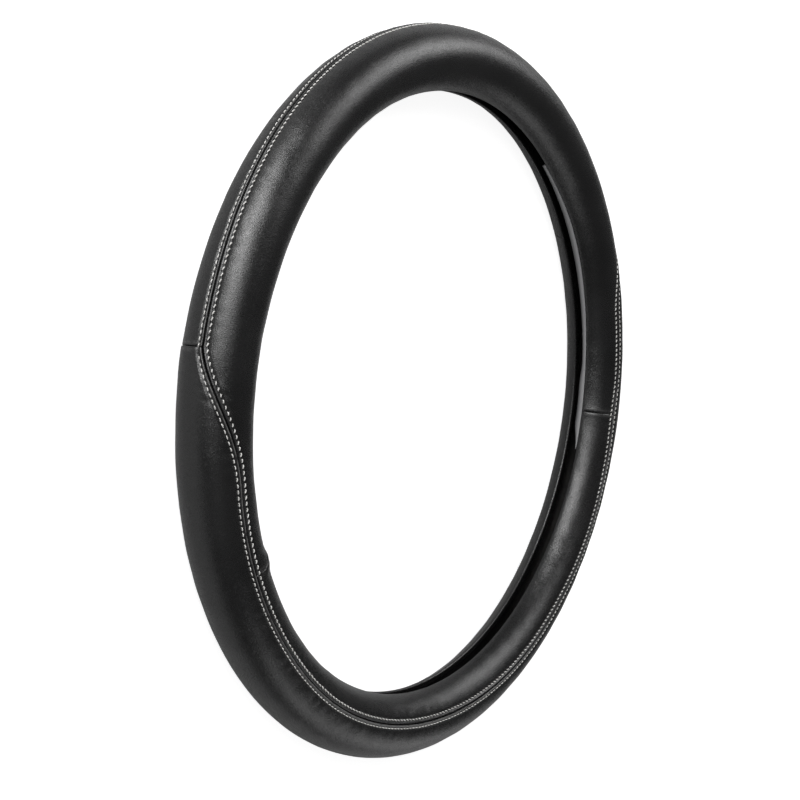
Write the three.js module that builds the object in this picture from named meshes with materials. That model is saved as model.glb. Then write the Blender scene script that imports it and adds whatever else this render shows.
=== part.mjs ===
// A slip-on steering wheel cover: four sewn leather panels around a C-shaped rubber ring.
// Millimetres and degrees. The cover lies flat, its back on z = 0 and its front face up along +Z,
// with 12 o'clock towards +Y. The origin is the ring's centre on the surface it lies on.
// An angle round the ring starts at 3 o'clock and runs counter-clockwise seen from the front.
// An angle round the section starts at the front face: 90 is the outer side and -90 the slot.

import * as THREE from "three";

// Overall sizes
const OVERALL_DIAMETER = 385;
const SECTION_RADIUS = 17.1;
const REST_ANGLE = 7;

// Layers, from the outside in
const LEATHER = 1.3;
const GLUE_GAP = 0.6;
const RING_WALL = 2;
const RIDGE_HEIGHT = 0.8;
const RING_ARCS = 8;
const ARC_GAP = 0.3;

// The slot along the inner circumference, as heights above and below the ring's mid-plane
const SLOT_FRONT = 2.6;
const SLOT_BACK = 4.7;
const LIP_ROUNDING = 1.1;
const TURN_IN = 3.9;
// The rounded lip's shoulder and foot, as shares of its rounding
const SHOULDER_IN = 0.25;
const SHOULDER_UP = 0.3;
const FOOT_IN = 0.8;

// On the right the front lip is pulled back and a strip of lining shows beside it
const PULL_HEIGHT = 1.4;
const PULL_CENTRE = 24;
const PULL_REACH_LOW = 36;
const PULL_REACH_HIGH = 20;
// Where it is pulled back the edge is cut, not turned in: its heights above the lip
const CUT_FOLD = 0.325;
const CUT_MEET = 0.65;
const CUT_SPARE = 0.04;
const STRIP_START = -25;
const STRIP_END = 43;
const STRIP_EDGE = 0.2;
// Below 3 o'clock it reaches further into the slot, from one angle to the other
const STRIP_DROP = 1.3;
const STRIP_DROP_FROM = -5;
const STRIP_DROP_TO = -11;
const STRIP_THICKNESS = 1.2;
const STRIP_ROUNDING = 0.24;
const STRIP_GAP = 0.35;

// The sewn seam: high on the outer side above the two corners, near the front face below them
const LEFT_CORNER = 160.5;
const RIGHT_CORNER = 23;
const CORNER_HEIGHT = 77;
const TOP_HEIGHT = 88;
const TOP_EASE = 50;
const DIAGONAL_SPAN = 19.5;
const DIAGONAL_SWELL = 1.37;
const DIAGONAL_EASE = 0.96;
const LOW_HEIGHT = -3;
// The low seam wanders: each bump is its centre and reach round the ring, and its rise
const SEAM_BUMPS = [
  [185, 35, 9],
  [255, 45, -10],
  [318, 20, 6],
  [343, 9, -4],
];

// Cross seams between the front and the inner panel
const LEFT_CROSS = 193.5;
const RIGHT_CROSS = 343.5;

// The seam in section, as distances from its middle and depths below the leather's surface
const PANEL_GAP = 0.35;
const SEAM_DIP = 0.6;
const RIDGE_AT = 1.2;
const RIDGE_RISE = 0.1;
const STITCH_AT = 2.2;
const STITCH_SINK = 0.5;
const FLUSH_AT = 3.8;
const THREAD_WIDTH = 0.9;
const THREAD_HEIGHT = 0.45;
const THREAD_GAP = 0.4;

// How finely the curves are cut
const STATION_STEP = 6;
const DIAGONAL_STEP = 2;
const STATION_CLEAR = 1.2;
const FRONT_STEPS = 8;
const BACK_STEPS = 8;
const BACK_LIP_STEPS = 4;
const INSIDE_STEPS = 11;
const RING_STEPS = 14;
const FULL_TURN = 360;
const HALF_TURN = 180;

const CENTRE_RADIUS = OVERALL_DIAMETER / 2 - SECTION_RADIUS;
const CENTRE_HEIGHT = SECTION_RADIUS * Math.cos(rad(REST_ANGLE));
const LEATHER_INSIDE = SECTION_RADIUS - LEATHER;
const RING_OUTSIDE = LEATHER_INSIDE - GLUE_GAP;
const RING_INSIDE = RING_OUTSIDE - RING_WALL;

function rad(degrees) {
  return THREE.MathUtils.degToRad(degrees);
}

function deg(radians) {
  return THREE.MathUtils.radToDeg(radians);
}

function mix(from, to, share) {
  return THREE.MathUtils.lerp(from, to, share);
}

// A rounded bump: 1 at its centre and 0 beyond its reach.
function bump(offset, reach) {
  const share = Math.min(Math.abs(offset) / reach, 1);
  return (1 + Math.cos(Math.PI * share)) / 2;
}

// A point of the section, as [outward from the centre line, height above the mid-plane].
function polar(radius, angle) {
  return [radius * Math.sin(rad(angle)), radius * Math.cos(rad(angle))];
}

// The same on the leather's outer surface, which lies flat where it rests.
function surfacePoint(depth, angle) {
  const [outward, height] = polar(SECTION_RADIUS - depth, angle);
  return [outward, Math.max(height, -CENTRE_HEIGHT)];
}

// The angle round the section at a height above the mid-plane, on the slot's side.
function slotAngle(radius, height) {
  return -90 + deg(Math.asin(height / radius));
}

// How far an angle round the ring is from another, from -180 to 180.
function turnedFrom(angle, centre) {
  return THREE.MathUtils.euclideanModulo(angle - centre + HALF_TURN, FULL_TURN) - HALF_TURN;
}

// The seam's low level below the corners.
function lowSeam(angle) {
  return SEAM_BUMPS.reduce((sum, [centre, reach, rise]) => {
    return sum + rise * bump(turnedFrom(angle, centre), reach);
  }, LOW_HEIGHT);
}

// A diagonal's fall from 1 at the corner to 0: gentle at first, then steeper, landing level.
function diagonalFall(share) {
  const along = Math.min(share, 1);
  return (1 - along) ** 2 * (1 + DIAGONAL_SWELL * along - DIAGONAL_EASE * along ** 2);
}

// The seam's place round the section, at an angle round the ring.
function seamAngle(angle) {
  const turned = THREE.MathUtils.euclideanModulo(angle, FULL_TURN);
  const fromCorner = Math.min(turned - RIGHT_CORNER, LEFT_CORNER - turned);
  if (fromCorner >= 0) {
    const ease = THREE.MathUtils.smoothstep(fromCorner, 0, TOP_EASE);
    return mix(CORNER_HEIGHT, TOP_HEIGHT, ease);
  }
  return mix(lowSeam(angle), CORNER_HEIGHT, diagonalFall(-fromCorner / DIAGONAL_SPAN));
}

// A distance from the seam, square to it, as an angle round the section.
function besideSeam(angle, distance) {
  const turned = THREE.MathUtils.euclideanModulo(angle, FULL_TURN);
  const rise = SECTION_RADIUS * rad(seamAngle(turned + 1) - seamAngle(turned - 1));
  const run = (CENTRE_RADIUS + SECTION_RADIUS * Math.sin(rad(seamAngle(turned)))) * rad(2);
  return seamAngle(turned) + deg(distance / SECTION_RADIUS) * Math.hypot(1, rise / run);
}

// How far the front lip is pulled back: 1 in full, 0 where it isn't.
function pull(angle) {
  const offset = turnedFrom(angle, PULL_CENTRE);
  return bump(offset, offset < 0 ? PULL_REACH_LOW : PULL_REACH_HIGH);
}

function frontLipHeight(angle) {
  return SLOT_FRONT + PULL_HEIGHT * pull(angle);
}

// Angles from one end to another, in equal steps.
function steps(from, to, count) {
  return Array.from({ length: count + 1 }, (_, i) => mix(from, to, i / count));
}

// The turned edge of a panel at the slot, from its outer surface round to its inner one.
// side is 1 at the front lip and -1 at the back lip, and flat is 1 where it isn't turned in.
function lipPoints(height, side, flat) {
  const onSurface = (radius, level) => Math.sqrt(radius ** 2 - level ** 2);
  const top = height + LIP_ROUNDING;
  const depth = mix(TURN_IN, LEATHER + CUT_SPARE, flat);
  const inner = onSurface(SECTION_RADIUS, height) - depth;
  const fold = height + mix(LEATHER, CUT_FOLD, flat);
  const meet = height + mix(LEATHER, CUT_MEET, flat);
  const shoulder = onSurface(SECTION_RADIUS, top) - LIP_ROUNDING * SHOULDER_IN;
  const foot = onSurface(SECTION_RADIUS, height) - LIP_ROUNDING * FOOT_IN;
  const points = [
    [onSurface(SECTION_RADIUS, top), top],
    [shoulder, height + LIP_ROUNDING * SHOULDER_UP],
    [foot, height],
    [inner, height],
    [inner, fold],
    [onSurface(LEATHER_INSIDE, meet), meet],
  ];
  return points.map(([inward, level]) => [-inward, side * level]);
}

// The seam's edge of a panel: side is 1 towards the back and -1 towards the front lip.
function seamEdge(angle, side) {
  const profile = [
    [PANEL_GAP / 2, SEAM_DIP],
    [RIDGE_AT, -RIDGE_RISE],
    [STITCH_AT, STITCH_SINK],
    [FLUSH_AT, 0],
  ];
  return profile.map(([distance, depth]) => {
    return surfacePoint(depth, besideSeam(angle, side * distance));
  });
}

// The section of a panel that runs from the seam over the front to the front lip.
function frontSection(angle) {
  const height = frontLipHeight(angle);
  const lip = lipPoints(height, 1, pull(angle));
  const outerEnd = slotAngle(SECTION_RADIUS, height + LIP_ROUNDING);
  const innerEnd = slotAngle(LEATHER_INSIDE, lip.at(-1)[1]);
  const outer = steps(besideSeam(angle, -FLUSH_AT), outerEnd, FRONT_STEPS).slice(1, -1);
  const inner = steps(innerEnd, besideSeam(angle, -PANEL_GAP / 2), INSIDE_STEPS).slice(1);
  return [
    ...seamEdge(angle, -1),
    ...outer.map((at) => surfacePoint(0, at)),
    ...lip,
    ...inner.map((at) => polar(LEATHER_INSIDE, at)),
  ];
}

// The section of a panel that runs from the seam round the back to the back lip.
function backSection(angle) {
  const lip = lipPoints(SLOT_BACK, -1, 0);
  const outerEnd = FULL_TURN + slotAngle(SECTION_RADIUS, -SLOT_BACK - LIP_ROUNDING);
  const innerEnd = FULL_TURN + slotAngle(LEATHER_INSIDE, lip.at(-1)[1]);
  const toRest = steps(besideSeam(angle, FLUSH_AT), HALF_TURN - REST_ANGLE, BACK_STEPS).slice(1);
  const toLip = steps(HALF_TURN + REST_ANGLE, outerEnd, BACK_LIP_STEPS).slice(0, -1);
  const insideSteps = INSIDE_STEPS + BACK_LIP_STEPS;
  const inner = steps(innerEnd, besideSeam(angle, PANEL_GAP / 2), insideSteps).slice(1);
  return [
    ...seamEdge(angle, 1),
    ...[...toRest, ...toLip].map((at) => surfacePoint(0, at)),
    ...lip,
    ...inner.map((at) => polar(LEATHER_INSIDE, at)),
  ];
}

// The section of one thread row, lying in the valley beside the seam.
function threadSection(angle, side) {
  const foot = SECTION_RADIUS - STITCH_SINK + THREAD_GAP;
  const half = THREAD_WIDTH / 2;
  return [
    polar(foot, besideSeam(angle, side * STITCH_AT)),
    polar(foot + THREAD_HEIGHT / 2, besideSeam(angle, side * STITCH_AT - half)),
    polar(foot + THREAD_HEIGHT, besideSeam(angle, side * STITCH_AT)),
    polar(foot + THREAD_HEIGHT / 2, besideSeam(angle, side * STITCH_AT + half)),
  ];
}

// The section of the lining strip, which stands in the slot below the pulled-back lip.
function stripSection(angle) {
  const top = frontLipHeight(angle) - STRIP_GAP;
  const drop = THREE.MathUtils.smoothstep(-angle, -STRIP_DROP_FROM, -STRIP_DROP_TO);
  const edge = STRIP_EDGE - STRIP_DROP * drop;
  const outer = SECTION_RADIUS - LIP_ROUNDING / 2;
  return [
    [-outer + STRIP_ROUNDING, top],
    [-outer, top - STRIP_ROUNDING],
    [-outer, edge + STRIP_ROUNDING],
    [-outer + STRIP_ROUNDING, edge],
    [-outer + STRIP_THICKNESS, edge],
    [-outer + STRIP_THICKNESS, top],
  ];
}

// The angles round the ring that every panel's sections share.
function ringStations() {
  const seams = [LEFT_CORNER, RIGHT_CORNER, LEFT_CROSS, RIGHT_CROSS];
  const inDiagonal = (at) => {
    const left = at > LEFT_CORNER && at < LEFT_CORNER + DIAGONAL_SPAN;
    return left || (at > RIGHT_CORNER - DIAGONAL_SPAN && at < RIGHT_CORNER);
  };
  const coarse = steps(0, FULL_TURN, Math.round(FULL_TURN / STATION_STEP)).slice(0, -1);
  const fine = steps(0, FULL_TURN, Math.round(FULL_TURN / DIAGONAL_STEP)).filter(inDiagonal);
  const plain = coarse.filter((at) => !inDiagonal(at)).concat(fine);
  const kept = plain.filter((at) => seams.every((seam) => Math.abs(at - seam) > STATION_CLEAR));
  return [...kept, ...seams].sort((a, b) => a - b);
}

const STATIONS = ringStations();

// The shared angles between two ends, with the ends themselves.
function stationsBetween(from, to) {
  const turns = [-FULL_TURN, 0, FULL_TURN].flatMap((turn) => STATIONS.map((at) => at + turn));
  const inside = turns.filter((at) => at > from + STATION_CLEAR / 2 && at < to - STATION_CLEAR / 2);
  return [from, ...inside, to];
}

// A closed body through the sections at a list of angles round the ring.
// A whole ring joins up with its start, and an arc gets a flat cap at each end.
function sweptBody(angles, sectionAt, wholeRing) {
  const sections = angles.map((angle) => {
    const outline = sectionAt(angle).map(([outward, height]) => new THREE.Vector2(outward, height));
    return THREE.ShapeUtils.isClockWise(outline) ? outline.reverse() : outline;
  });
  const count = sections[0].length;
  const positions = angles.flatMap((angle, i) => sections[i].flatMap((point) => {
    const reach = CENTRE_RADIUS + point.x;
    return [reach * Math.cos(rad(angle)), reach * Math.sin(rad(angle)), CENTRE_HEIGHT + point.y];
  }));
  const index = [];
  const spans = wholeRing ? angles.length : angles.length - 1;
  for (let i = 0; i < spans; i += 1) {
    const here = i * count;
    const next = ((i + 1) % angles.length) * count;
    for (let j = 0; j < count; j += 1) {
      const k = (j + 1) % count;
      index.push(here + j, next + j, next + k, here + j, next + k, here + k);
    }
  }
  if (!wholeRing) {
    const last = (angles.length - 1) * count;
    THREE.ShapeUtils.triangulateShape(sections[0], []).forEach(([a, b, c]) => {
      index.push(a, b, c);
    });
    THREE.ShapeUtils.triangulateShape(sections.at(-1), []).forEach(([a, b, c]) => {
      index.push(last + a, last + c, last + b);
    });
  }
  const geometry = new THREE.BufferGeometry();
  geometry.setAttribute("position", new THREE.Float32BufferAttribute(positions, 3));
  geometry.setIndex(index);
  geometry.computeVertexNormals();
  return geometry;
}

// The moulded ring's section: a C, open at the slot, with grip ridges along its inside.
function ringSection() {
  const front = SLOT_FRONT + Math.max(PULL_HEIGHT, LEATHER) + 2 * GLUE_GAP;
  const back = -SLOT_BACK - LEATHER - GLUE_GAP;
  const arc = (radius, count) => {
    return steps(slotAngle(radius, front), FULL_TURN + slotAngle(radius, back), count);
  };
  const outside = arc(RING_OUTSIDE, RING_STEPS).map((at) => polar(RING_OUTSIDE, at));
  const inside = arc(RING_INSIDE, RING_STEPS).map((at, i) => {
    return polar(RING_INSIDE - (i % 2) * RIDGE_HEIGHT, at);
  });
  return [...inside, ...outside.reverse()];
}

// One of the equal arcs that the moulded ring is cut into. The first is centred on 3 o'clock.
function ringArc(place) {
  const half = FULL_TURN / RING_ARCS / 2 - deg(ARC_GAP / 2 / CENTRE_RADIUS);
  const middle = (place * FULL_TURN) / RING_ARCS;
  return sweptBody(stationsBetween(middle - half, middle + half), ringSection, false);
}

// A panel between two seams across the ring, drawn back from each by half the panel gap.
function panel(from, to, sectionAt) {
  const margin = deg(PANEL_GAP / 2 / CENTRE_RADIUS);
  return sweptBody(stationsBetween(from + margin, to - margin), sectionAt, false);
}

function threadRow(side) {
  return sweptBody(STATIONS, (angle) => threadSection(angle, side), true);
}

function liningStrip() {
  return sweptBody(stationsBetween(STRIP_START, STRIP_END), stripSection, false);
}

function finish(color, roughness) {
  return new THREE.MeshStandardMaterial({ color, roughness, metalness: 0 });
}

const leather = finish(0x1b1b1c, 0.5);
const rubber = finish(0x101011, 0.75);
const lining = finish(0x2c2c2e, 0.4);
const thread = finish(0xe9e7e1, 0.85);

function part(name, geometry, material) {
  const mesh = new THREE.Mesh(geometry, material);
  mesh.name = name;
  return mesh;
}

const cover = new THREE.Group();
for (let place = 0; place < RING_ARCS; place += 1) {
  cover.add(part(`ring_arc_${place + 1}`, ringArc(place), rubber));
}
cover.add(
  part("front_panel", panel(RIGHT_CROSS - FULL_TURN, LEFT_CROSS, frontSection), leather),
  part("inner_panel", panel(LEFT_CROSS, RIGHT_CROSS, frontSection), leather),
  part("outer_panel", panel(LEFT_CORNER, RIGHT_CORNER + FULL_TURN, backSection), leather),
  part("back_panel", panel(RIGHT_CORNER, LEFT_CORNER, backSection), leather),
  part("outer_stitch_row", threadRow(1), thread),
  part("inner_stitch_row", threadRow(-1), thread),
  part("lining_strip", liningStrip(), lining),
);

export default cover;
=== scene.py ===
import logging
import math
from dataclasses import dataclass, field
from enum import Enum

import bpy
import numpy as np
from mathutils import Matrix, Vector


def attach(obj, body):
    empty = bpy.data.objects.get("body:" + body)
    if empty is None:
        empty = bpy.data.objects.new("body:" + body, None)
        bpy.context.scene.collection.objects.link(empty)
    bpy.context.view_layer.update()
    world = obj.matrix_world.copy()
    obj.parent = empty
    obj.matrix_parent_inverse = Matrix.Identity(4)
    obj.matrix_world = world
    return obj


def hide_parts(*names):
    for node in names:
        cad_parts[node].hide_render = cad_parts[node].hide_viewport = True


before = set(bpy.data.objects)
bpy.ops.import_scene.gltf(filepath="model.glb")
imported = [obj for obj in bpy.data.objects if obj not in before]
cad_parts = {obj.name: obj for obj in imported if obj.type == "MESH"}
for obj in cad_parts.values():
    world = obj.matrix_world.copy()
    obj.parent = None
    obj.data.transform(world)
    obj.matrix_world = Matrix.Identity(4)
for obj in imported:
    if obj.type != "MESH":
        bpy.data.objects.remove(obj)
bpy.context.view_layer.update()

# The dressed steering wheel cover. The cover's lengths are millimetres until a mesh is made. The depths
# of the finishes and the studio's lengths are metres. Angles in fields and arguments are degrees, unless
# a name says radians. An angle round the ring starts at 3 o'clock and runs counter-clockwise seen from
# the front. An angle round the section starts at the front face: 90 is the outer side and -90 the slot.

LOG = logging.getLogger("cover")
MM = 0.001
FULL_TURN = 360.0
HALF_TURN = 180.0
QUARTER_TURN = 90.0
BODY = "root"
CREST = "crest"


class Side(Enum):
    """The side of the seam that a panel or a stitch row lies on."""

    FRONT = -1
    BACK = 1


class Slot(Enum):
    """The record's material slots."""

    LEATHER = "black_leather"
    RUBBER = "ring_rubber"
    THREAD = "white_thread"
    LINING = "smooth_lining"


def smoothstep(value: np.ndarray, low: float, high: float) -> np.ndarray:
    """Eases a value from 0 at low to 1 at high.

    Args:
        value: The values to ease.
        low: Where the result leaves 0.
        high: Where the result reaches 1.

    Returns:
        The eased values, from 0 to 1.
    """
    share = np.clip((np.asarray(value, float) - low) / (high - low), 0, 1)
    return share * share * (3 - 2 * share)


def bump(offset: np.ndarray, reach: np.ndarray) -> np.ndarray:
    """Makes a rounded bump, 1 at its centre and 0 beyond its reach.

    Args:
        offset: Distances from the bump's centre.
        reach: How far the bump reaches, in the same unit.

    Returns:
        The bump's height at each offset.
    """
    share = np.minimum(np.abs(offset) / reach, 1)
    return (1 + np.cos(np.pi * share)) / 2


def turned_from(angle: np.ndarray, centre: float) -> np.ndarray:
    """Gives how far angles lie from another one.

    Args:
        angle: Angles round the ring.
        centre: The angle that they are measured from.

    Returns:
        The differences, from -180 to 180.
    """
    return np.mod(np.asarray(angle, float) - centre + HALF_TURN, FULL_TURN) - HALF_TURN


@dataclass(frozen=True)
class CoverSizes:
    """The sizes that the whole cover shares."""

    centre_radius: float = 175.4
    section_radius: float = 17.1
    rest_angle: float = 7.0
    leather: float = 1.3
    glue_gap: float = 0.6
    ring_wall: float = 2.0
    slot_front: float = 2.6
    slot_back: float = 4.7
    lip_rounding: float = 1.1
    turn_in: float = 3.9
    pull_height: float = 1.4
    pull_centre: float = 24.0
    pull_reach_low: float = 36.0
    pull_reach_high: float = 20.0
    panel_gap: float = 0.35
    seam_dip: float = 1.15
    ridge_at: float = 1.2
    stitch_at: float = 2.2
    stitch_sink: float = 0.5
    flush_at: float = 3.8

    @property
    def centre_height(self) -> float:
        """The ring's mid-plane above the surface it lies on."""
        return self.section_radius * math.cos(math.radians(self.rest_angle))

    @property
    def leather_inside(self) -> float:
        """The section's radius at the leather's inner face."""
        return self.section_radius - self.leather

    def pull(self, angle: np.ndarray) -> np.ndarray:
        """Gives how far the front lip is pulled back.

        Args:
            angle: Angles round the ring.

        Returns:
            1 where it is pulled back in full, 0 where it isn't.
        """
        offset = turned_from(angle, self.pull_centre)
        reach = np.where(offset < 0, self.pull_reach_low, self.pull_reach_high)
        return bump(offset, reach)

    def along_section(self, turn: np.ndarray) -> np.ndarray:
        """Gives the length on the outer surface of turns round the section."""
        return np.abs(turn) * math.radians(1) * self.section_radius

    def lip_height(self, angle: np.ndarray) -> np.ndarray:
        """Gives the front lip's height above the mid-plane at angles round the ring."""
        return self.slot_front + self.pull_height * self.pull(angle)

    def place(self, angle: np.ndarray, outward: np.ndarray, height: np.ndarray) -> np.ndarray:
        """Turns section coordinates into points of the cover.

        Args:
            angle: Angles round the ring.
            outward: Distances outward from the ring's centre line.
            height: Heights above the mid-plane.

        Returns:
            The points in millimetres, with their three coordinates on the last axis.
        """
        turn = np.radians(angle)
        reach = self.centre_radius + outward
        level = np.maximum(height + self.centre_height, 0)
        return np.stack([reach * np.cos(turn), reach * np.sin(turn), level], axis=-1)


@dataclass(frozen=True)
class SeamRoute:
    """The long sewn seam's way round the cover."""

    sizes: CoverSizes
    left_corner: float = 160.5
    right_corner: float = 23.0
    corner_height: float = 77.0
    top_height: float = 88.0
    top_ease: float = 50.0
    diagonal_span: float = 19.5
    diagonal_swell: float = 1.37
    diagonal_ease: float = 0.96
    low_height: float = -3.0
    wander: tuple = ((185, 35, 9), (255, 45, -10), (318, 20, 6), (343, 9, -4))
    slope_reach: float = 1.0
    left_cross: float = 193.5
    right_cross: float = 343.5

    def low(self, angle: np.ndarray) -> np.ndarray:
        """Gives the seam's low level below the corners at angles round the ring."""
        rises = (rise * bump(turned_from(angle, at), reach) for at, reach, rise in self.wander)
        return self.low_height + sum(rises)

    def fall(self, share: np.ndarray) -> np.ndarray:
        """Gives a diagonal's fall from 1 at the corner to 0 where it lands."""
        along = np.clip(share, 0, 1)
        return (1 - along) ** 2 * (1 + self.diagonal_swell * along - self.diagonal_ease * along ** 2)

    def at(self, angle: np.ndarray) -> np.ndarray:
        """Gives the seam's place round the section.

        Args:
            angle: Angles round the ring.

        Returns:
            Angles round the section.
        """
        turned = np.mod(np.asarray(angle, float), FULL_TURN)
        from_corner = np.minimum(turned - self.right_corner, self.left_corner - turned)
        ease = smoothstep(from_corner, 0, self.top_ease)
        above = self.corner_height + (self.top_height - self.corner_height) * ease
        low = self.low(turned)
        below = low + (self.corner_height - low) * self.fall(-from_corner / self.diagonal_span)
        return np.where(from_corner >= 0, above, below)

    def beside(self, angle: np.ndarray, distance: np.ndarray) -> np.ndarray:
        """Gives the line that runs beside the seam, square to it.

        Args:
            angle: Angles round the ring.
            distance: Distances from the seam, positive towards the back.

        Returns:
            Angles round the section.
        """
        reach = self.slope_reach
        radius = self.sizes.section_radius
        here = self.at(angle)
        rise = radius * np.radians(self.at(angle + reach) - self.at(angle - reach))
        level = self.sizes.centre_radius + radius * np.sin(np.radians(here))
        run = level * math.radians(2 * reach)
        return here + np.degrees(distance / radius) * np.hypot(1, rise / run)


class StitchCourse:
    """The line of one stitch row, measured along its own length."""

    marks = 14401

    def __init__(self, route: SeamRoute, side: Side, stitch: float = 2.85) -> None:
        """Measures the line.

        Args:
            route: The seam that the row follows.
            side: The side of the seam that the row lies on.
            stitch: About how long one stitch is.
        """
        self.route = route
        self.side = side
        self.angles = np.linspace(0, FULL_TURN, self.marks)
        section = np.radians(route.beside(self.angles, side.value * route.sizes.stitch_at))
        radius = route.sizes.section_radius
        points = route.sizes.place(self.angles, radius * np.sin(section), radius * np.cos(section))
        lengths = np.linalg.norm(np.diff(points, axis=0), axis=1)
        self.lengths = np.concatenate([[0], np.cumsum(lengths)])
        self.count = round(self.lengths[-1] / stitch)
        self.pitch = self.lengths[-1] / self.count

    def phase(self, angle: np.ndarray) -> np.ndarray:
        """Gives the count of stitches from 3 o'clock to angles round the ring.

        Args:
            angle: Angles round the ring.

        Returns:
            The counts, in stitches.
        """
        turns = np.floor(np.asarray(angle, float) / FULL_TURN)
        inside = np.interp(angle - turns * FULL_TURN, self.angles, self.lengths)
        return inside / self.pitch + turns * self.count

    def angle_at(self, phase: np.ndarray) -> np.ndarray:
        """Gives the angles round the ring at counts of stitches from 3 o'clock.

        Args:
            phase: Counts of stitches.

        Returns:
            The angles.
        """
        turns = np.floor(np.asarray(phase, float) / self.count)
        inside = (phase - turns * self.count) * self.pitch
        return np.interp(inside, self.lengths, self.angles) + turns * FULL_TURN


class Unevenness:
    """The soft unevenness of stretched leather, the same at every run."""

    ring_waves = (9, 74)
    section_waves = (0, 6)
    wave_sizes = (0.4, 1)

    def __init__(self, seed: int, waves: int = 26) -> None:
        """Draws the waves.

        Args:
            seed: The seed of the random draw.
            waves: How many waves are added up.
        """
        draw = np.random.default_rng(seed)
        self.round_ring = draw.integers(*self.ring_waves, waves)
        self.round_section = draw.integers(*self.section_waves, waves)
        self.start = draw.uniform(0, 2 * np.pi, waves)
        self.size = draw.uniform(*self.wave_sizes, waves) / np.sqrt(waves)

    def at(self, angle: np.ndarray, section: np.ndarray) -> np.ndarray:
        """Gives the unevenness, about -1 to 1, at angles round the ring and the section.

        Args:
            angle: Angles round the ring.
            section: Angles round the section.

        Returns:
            The unevenness.
        """
        turn, tilt = np.radians(angle), np.radians(section)
        total = np.zeros(np.broadcast(turn, tilt).shape)
        rows = zip(self.round_ring, self.round_section, self.start, self.size)
        for around, across, start, size in rows:
            total += size * np.sin(around * turn + across * tilt + start)
        return total


def make_mesh(name: str, points: np.ndarray, faces: list, crest: np.ndarray) -> bpy.types.Object:
    """Makes a smooth-shaded object.

    Args:
        name: The object's name.
        points: The corners in millimetres, one row each.
        faces: Arrays of faces, each array with one row of corner numbers a face.
        crest: A value for each corner that sets painted highlight and painted shade on the leather, thread
            and lining, and marks the hollows where dust lies on the rubber.

    Returns:
        The object, linked to the scene.
    """
    mesh = bpy.data.meshes.new(name)
    loops = np.concatenate([np.asarray(block).ravel() for block in faces]).astype(np.int32)
    sizes = np.concatenate([np.full(len(block), len(block[0])) for block in faces])
    starts = np.concatenate([[0], np.cumsum(sizes)[:-1]]).astype(np.int32)
    mesh.vertices.add(len(points))
    mesh.vertices.foreach_set("co", (points * MM).astype(np.float32).ravel())
    mesh.loops.add(len(loops))
    mesh.loops.foreach_set("vertex_index", loops)
    mesh.polygons.add(len(sizes))
    mesh.polygons.foreach_set("loop_start", starts)
    mesh.update(calc_edges=True)
    mesh.polygons.foreach_set("use_smooth", np.ones(len(sizes), bool))
    layer = mesh.attributes.new(CREST, "FLOAT", "POINT")
    layer.data.foreach_set("value", crest.astype(np.float32))
    mesh.validate()
    made = bpy.data.objects.new(name, mesh)
    bpy.context.scene.collection.objects.link(made)
    return made


def sweep_faces(rows: int, count: int, joined: bool) -> list:
    """Gives the faces of a closed section swept through rows of points.

    Args:
        rows: How many sections there are.
        count: How many points each section has.
        joined: Whether the last section joins the first; otherwise each end is capped.

    Returns:
        Arrays of faces for make_mesh.
    """
    here = np.arange(rows if joined else rows - 1)[:, None] * count
    step = np.arange(count)[None, :]
    turn = (step + 1) % count
    beyond = (here + count) % (rows * count)
    quads = np.stack([here + step, beyond + step, beyond + turn, here + turn], axis=-1)
    faces = [quads.reshape(-1, 4)]
    if not joined:
        last = (rows - 1) * count
        faces.append(np.arange(count)[None, :])
        faces.append(last + np.arange(count)[::-1][None, :])
    return faces


def add_group(name: str, inputs: dict, outputs: dict) -> tuple:
    """Starts a shader node group.

    Args:
        name: The group's name.
        inputs: Socket names, each with its type and default.
        outputs: Socket names, each with its type.

    Returns:
        The group, its input node and its output node.
    """
    group = bpy.data.node_groups.new(name, "ShaderNodeTree")
    for label, (kind, default) in inputs.items():
        socket = group.interface.new_socket(label, in_out="INPUT", socket_type=kind)
        if default is not None:
            socket.default_value = default
    for label, kind in outputs.items():
        group.interface.new_socket(label, in_out="OUTPUT", socket_type=kind)
    return group, group.nodes.new("NodeGroupInput"), group.nodes.new("NodeGroupOutput")


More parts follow.
